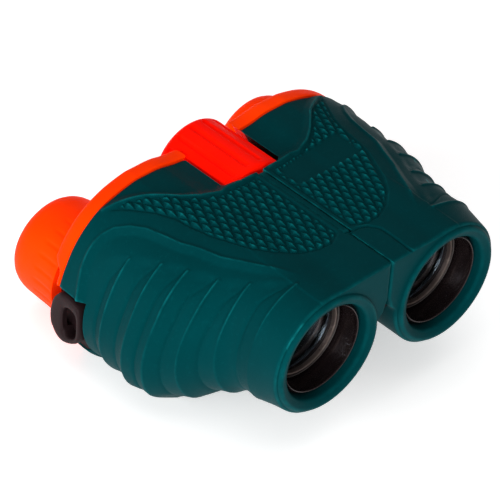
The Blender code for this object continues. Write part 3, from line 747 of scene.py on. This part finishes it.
# ------------------------------------------------------------------------------ objectives
def objective(tag, side):
    where = {n: b for b in frame["bodies"] for n in [o.name for o in frame["bodies"][b].children]}

    def place(cad, ob, sl):
        put(ob, where[cad], sl, cad)
    # fixed sleeve: a bright front rim and a plain wall with a fine step
    prof = [(12.8, 3.0), (12.7, 2.75), (12.42, 2.65), (12.3, 2.4), (12.22, 1.98), (12.12, 1.78), (11.98, 1.7), (11.84, 1.78), (11.78, 1.95), (11.78, 2.3),
            (11.88, 2.55), (12.12, 3.2), (12.25, 3.6), (12.25, 14.8), (12.4, 15.0), (12.7, 15.0), (12.8, 14.8)]
    place(tag + "_objective_sleeve", lathe(tag + "_sleeve_turned", OBJ, prof, GLOSS, side, 128), "black_plastic")
    # focusing cell: rounded lip, threaded inner wall, lens seat and inner baffle
    prof = [(11.95, 8.3), (11.9, 8.05), (11.75, 7.92), (11.55, 7.9), (11.42, 8.0), (11.4, 8.15)]
    y = 8.5
    while y < 10.0:
        prof += [(11.4, y), (11.28, y + 0.12), (11.28, y + 0.2), (11.4, y + 0.32)]
        y += 0.42
    prof += [(11.4, 13.6), (10.2, 13.6)]
    y = 13.9
    while y < 17.6:
        prof += [(10.2, y), (10.05, y + 0.14), (10.05, y + 0.24), (10.2, y + 0.38)]
        y += 0.5
    prof += [(10.2, 17.8), (10.35, 18.0), (11.8, 18.0), (11.95, 17.8)]
    place(tag + "_objective_cell", lathe(tag + "_cell_turned", OBJ, prof, ALU, side, 128), "black_aluminium")
    prof = [(11.1, 8.1), (11.0, 7.92), (10.9, 7.9), (10.66, 7.9), (10.54, 7.98), (10.5, 8.15), (10.5, 8.9), (10.62, 9.2), (11.0, 9.2), (11.1, 9.1)]
    place(tag + "_objective_ring", lathe(tag + "_retainer_turned", OBJ, prof, BRASS, side, 128), "brass")
    ts = (0.12, 0.25, 0.38, 0.5, 0.62, 0.74, 0.85, 0.94)
    prof = [(0, 9.4)] + [(11.1 * t, 10.4 - 1.0 * (1 - t * t)) for t in ts] + [(11.05, 10.38), (11.1, 10.5), (11.1, 12.9), (11.0, 13.0)] + \
           [(11.1 * t, 13.0 + 0.3 * (1 - t * t)) for t in ts[::-1]] + [(0, 13.3)]
    place(tag + "_objective_lens", solid_lathe(tag + "_objective_ground", OBJ, prof, COATED, side, 128), "coated_glass")


# -------------------------------------------------------------------------- focusing wheel
def wheel():
    outer = [(10.6, 46.9), (11.3, 46.95), (11.7, 47.15), (12.0, 47.5), (12.15, 47.95), (12.2, 48.4)]
    ys = np.arange(48.7, 70.31, 0.3)
    outer += [(12.2, float(y)) for y in ys]
    outer += [(12.14, 70.6), (12.0, 70.95), (11.78, 71.3), (11.4, 71.65), (10.95, 71.9), (10.5, 72.0), (10.0, 71.95), (9.6, 71.75), (9.3, 71.45), (9.1, 71.0),
              (8.95, 70.4), (8.8, 69.95), (8.6, 69.75), (6.8, 69.6), (4.7, 69.45), (4.4, 69.4), (2.8, 69.4), (2.8, 47.2), (5.2, 47.2), (5.2, 49.4), (10.2, 49.4), (10.2, 47.1), (10.3, 46.95)]

    def fluted(a, r, y):
        rr = np.full(a.shape, float(r))
        if r > 11.2:
            ph = (np.degrees(a) - 97.3) % 20.0
            ph = np.minimum(ph, 20.0 - ph)                       # degrees from a groove's middle
            d = ph * pi / 180 * 12.2                             # the same in mm
            e0, e1 = 49.7, 69.2
            over = max(e0 - y, 0, y - e1)
            dist = np.hypot(d, over)
            rr = rr - 0.62 * ss((1.00 - dist) / 0.75)
        return rr
    ob = lathe("wheel_fluted", HINGE, outer, WHEEL, 1, 540, 0, fluted, 30)
    put(ob, "focus_wheel", "orange_rubber", "focus_wheel")
    head = [(0, 62.6), (1.0, 62.6), (1.0, 69.7), (4.0, 69.75), (4.18, 69.85), (4.2, 70.05), (4.2, 70.5), (4.1, 70.75), (3.85, 71.0), (3.4, 71.15), (2.6, 71.25), (1.2, 71.3), (0, 71.3)]
    s = solid_lathe("wheel_screw_turned", HINGE, head, STEEL, 1, 64)
    cut(s, [box_points(-2.4, 2.4, 70.5, 72.0, 5.6, 6.4), box_points(-0.4, 0.4, 70.5, 72.0, 3.6, 8.4)], 1)
    s.data.shade_smooth()
    s.data.set_sharp_from_angle(angle=radians(35))
    put(s, "focus_wheel", "spring_steel", "focus_wheel_screw")


def centre_strip():
    """Rubber strip over the hinge: rounded on top, with soft ends."""
    ys = [15.1, 15.12, 15.25, 15.5, 15.9, 16.5] + list(np.arange(18, 44.6, 1.0)) + [44.9, 45.4, 45.65, 45.85, 45.9]
    rings = []
    for y in ys:
        e = min(y - 15.1, 45.9 - y)
        drop = 0.5 * (1 - float(ss(e / 0.8))) ** 1.5
        top = 17.32 - drop
        q = [(-0.9, 12.0), (-0.9, top - 0.45), (-0.84, top - 0.2), (-0.68, top - 0.07), (-0.4, top - 0.01), (0, top), (0.4, top - 0.01), (0.68, top - 0.07), (0.84, top - 0.2), (0.9, top - 0.45), (0.9, 12.0)]
        rings.append([(x, y, z) for x, z in q])
    n, m = 11, len(rings)
    P = [p for r in rings for p in r]
    F = loop_faces(m, n, False) + [tuple(range(n)), tuple(range((m - 1) * n, m * n))[::-1]]
    put(obj("strip_moulded", P, F, TEAL, 1, 40), "right_half", "teal_rubber", "centre_strip")


# ------------------------------------------------------------------------------ strap lugs
def lug(tag, side):
    """Rounded loop moulded proud of a floor, with a way behind the bar for a strap."""
    outer = [(55.2, -16.8), (54.6, -14.5), (54.5, -11.5), (54.6, -8.0), (55.4, -5.9), (57.4, -5.0), (60.0, -4.7), (62.2, -5.2), (64.0, -7.4), (65.2, -10.2), (65.8, -13.2),
             (65.6, -16.2), (64.7, -18.4), (63.0, -19.8), (61.0, -20.1), (58.8, -19.4), (56.8, -18.3)]
    inner = [(56.4, -15.9), (55.9, -14.3), (55.8, -11.8), (55.9, -9.6), (56.6, -8.5), (58.0, -8.1), (59.3, -8.3), (60.3, -9.0), (60.9, -10.4), (61.1, -12.2), (61.15, -13.6),
             (61.0, -15.2), (60.6, -16.5), (60.0, -17.2), (59.1, -17.4), (58.0, -17.1), (57.0, -16.6)]

    def smooth(pts, n=96):
        p = np.array(pts)
        q = np.concatenate([p[-2:], p, p[:3]])
        t = np.linspace(0, len(p), n, endpoint=False)
        i = t.astype(int)
        f = (t - i)[:, None]
        a, b, c, d = q[i + 1], q[i + 2], q[i + 3], q[np.minimum(i + 4, len(q) - 1)]
        return 0.5 * ((2 * b) + (-a + c) * f + (2 * a - 5 * b + 4 * c - d) * f ** 2 + (-a + 3 * b - 3 * c + d) * f ** 3)
    n = 96
    O, I = smooth(outer, n), smooth(inner, n)
    mid = (O + I) / 2
    bar = ss((mid[:, 0] - 61.0) / 1.2) * ss((mid[:, 1] + 17.3) / 1.2) * ss((-7.6 - mid[:, 1]) / 1.2)
    low = 46.7 + 2.3 * bar
    rings = []
    for t, h in ((0.0, 0.0), (0.0, 0.5), (0.0, 0.80), (0.05, 0.91), (0.14, 0.975), (0.28, 1.0), (0.5, 1.0), (0.72, 1.0), (0.86, 0.965), (0.95, 0.89), (1.0, 0.76), (1.0, 0.45), (1.0, 0.0)):
        q = I * (1 - t) + O * t
        top = 50.75
        x = low + (top - low) * h
        rings.append(np.stack([x, q[:, 0], q[:, 1]], 1))
    P = np.concatenate(rings)
    ob = obj(tag + "_strap_loop", P, loop_faces(len(rings), n, True), BLACK, side, 40)
    put(ob, HALF[tag], "black_plastic", tag + "_strap_lug")
    # floor of the lug
    q = smooth([(54.4, -19.9), (54.4, -12.5), (54.4, -4.9), (60.0, -4.8), (63.8, -5.4), (65.3, -9.5), (65.6, -13.0), (65.4, -17.0), (64.0, -19.6), (59.0, -20.2)], n)
    c = q.mean(0)
    rings = []
    for sc, x in ((1.0, 46.6), (1.0, 47.05), (0.985, 47.25), (0.95, 47.34), (0.6, 47.36), (0.2, 47.36)):
        w = c + (q - c) * sc
        rings.append(np.stack([np.full(n, x), w[:, 0], w[:, 1]], 1))
    P = np.concatenate(rings)
    m = len(rings)
    F = loop_faces(m, n, False) + [tuple(range(n)), tuple(range((m - 1) * n, m * n))[::-1]]
    put(obj(tag + "_strap_floor", P, F, BLACK, side, 40), HALF[tag], "black_plastic")


for tag, side in SIDES:
    shell(tag, side)
    knuckles(tag, side)
    rear_plate(tag, side)
    eyecup(tag, side)
    eyepiece(tag, side)
    objective(tag, side)
    lug(tag, side)
wheel()
centre_strip()

# CAD nodes that keep their shape take the same finishes
KEEP = {"prism_shelf": BLACK, "rear_prism": GLASS, "front_prism": GLASS, "rear_prism_clip": STEEL, "front_prism_clip": STEEL, "field_lens": GLASS,
        "front_hinge_pin": STEEL, "rear_hinge_bush": STEEL, "focus_screw": STEEL, "focus_carriage": CARRIAGE, "carriage_retaining_ring": STEEL,
        "left_focus_arm": CARRIAGE}
for name, ob in frame["nodes"].items():
    if ob.hide_render:
        continue
    short = name.replace("right_", "").replace("left_", "") if name not in KEEP else name
    mat = KEEP.get(short, BLACK)
    for s in ob.material_slots:
        s.material = mat

# ------------------------------------------------------------------------- floor and light
fl = bpy.data.meshes.new("floor")
fl.from_pydata([(-3, -3, -0.0002), (3, -3, -0.0002), (3, 3, -0.0002), (-3, 3, -0.0002)], [], [(0, 1, 2, 3)])
floor = bpy.data.objects.new("floor", fl)
bpy.context.scene.collection.objects.link(floor)
fm, fnt, fb = nodes_of("floor_paper")
fb.inputs["Base Color"].default_value = (0.93, 0.93, 0.93, 1)
fb.inputs["Roughness"].default_value = 0.9
fb.inputs["Specular IOR Level"].default_value = 0.1
fb.inputs["Emission Color"].default_value = (1, 1, 1, 1)
fb.inputs["Emission Strength"].default_value = 0.42
fl.materials.append(fm)

world = bpy.data.worlds.new("studio")
world.use_nodes = True
world.node_tree.nodes["Background"].inputs[0].default_value = (1, 1, 1, 1)
world.node_tree.nodes["Background"].inputs[1].default_value = 0.30
bpy.context.scene.world = world


def area(name, where, aim, size, power):
    l = bpy.data.lights.new(name, "AREA")
    l.shape, l.size, l.size_y, l.energy = "RECTANGLE", size[0], size[1], power
    o = bpy.data.objects.new(name, l)
    bpy.context.scene.collection.objects.link(o)
    o.location = where
    o.rotation_euler = (Vector(aim) - Vector(where)).to_track_quat("-Z", "Y").to_euler()
    return o


area("key", (-0.60, -0.52, 0.16), (0, 0, 0.01), (0.70, 0.40), 6.4)
area("side", (-0.75, 0.20, 0.22), (0, 0, 0.02), (0.6, 0.4), 4.2)
area("top", (0.10, 0.10, 1.2), (0, 0, 0), (1.4, 1.4), 6.0)

# --------------------------------------------------------------------------------- camera
a, e, k = radians(-45.15326), radians(39.114237), radians(3.530254)
back = Vector((sin(a) * cos(e), -cos(a) * cos(e), sin(e)))
r0 = Vector((cos(a), sin(a), 0))
u0 = back.cross(r0)
right = cos(k) * r0 + sin(k) * u0
up = -sin(k) * r0 + cos(k) * u0
pos = (Vector((-14.552, 33.333, 7.864)) + back * 666.667 + Vector((0, -42.2, 27.2))) * MM
cam = bpy.data.cameras.new("camera")
cam.sensor_width = 36
cam.lens = 2746.055 / 500 * 36
cam.clip_start = 0.01
co = bpy.data.objects.new("camera", cam)
co.matrix_world = Matrix(((right.x, up.x, back.x, pos.x), (right.y, up.y, back.y, pos.y), (right.z, up.z, back.z, pos.z), (0, 0, 0, 1)))
bpy.context.scene.collection.objects.link(co)
bpy.context.scene.camera = co
bpy.context.scene.view_settings.view_transform = "Standard"
bpy.context.scene.view_settings.look = "None"
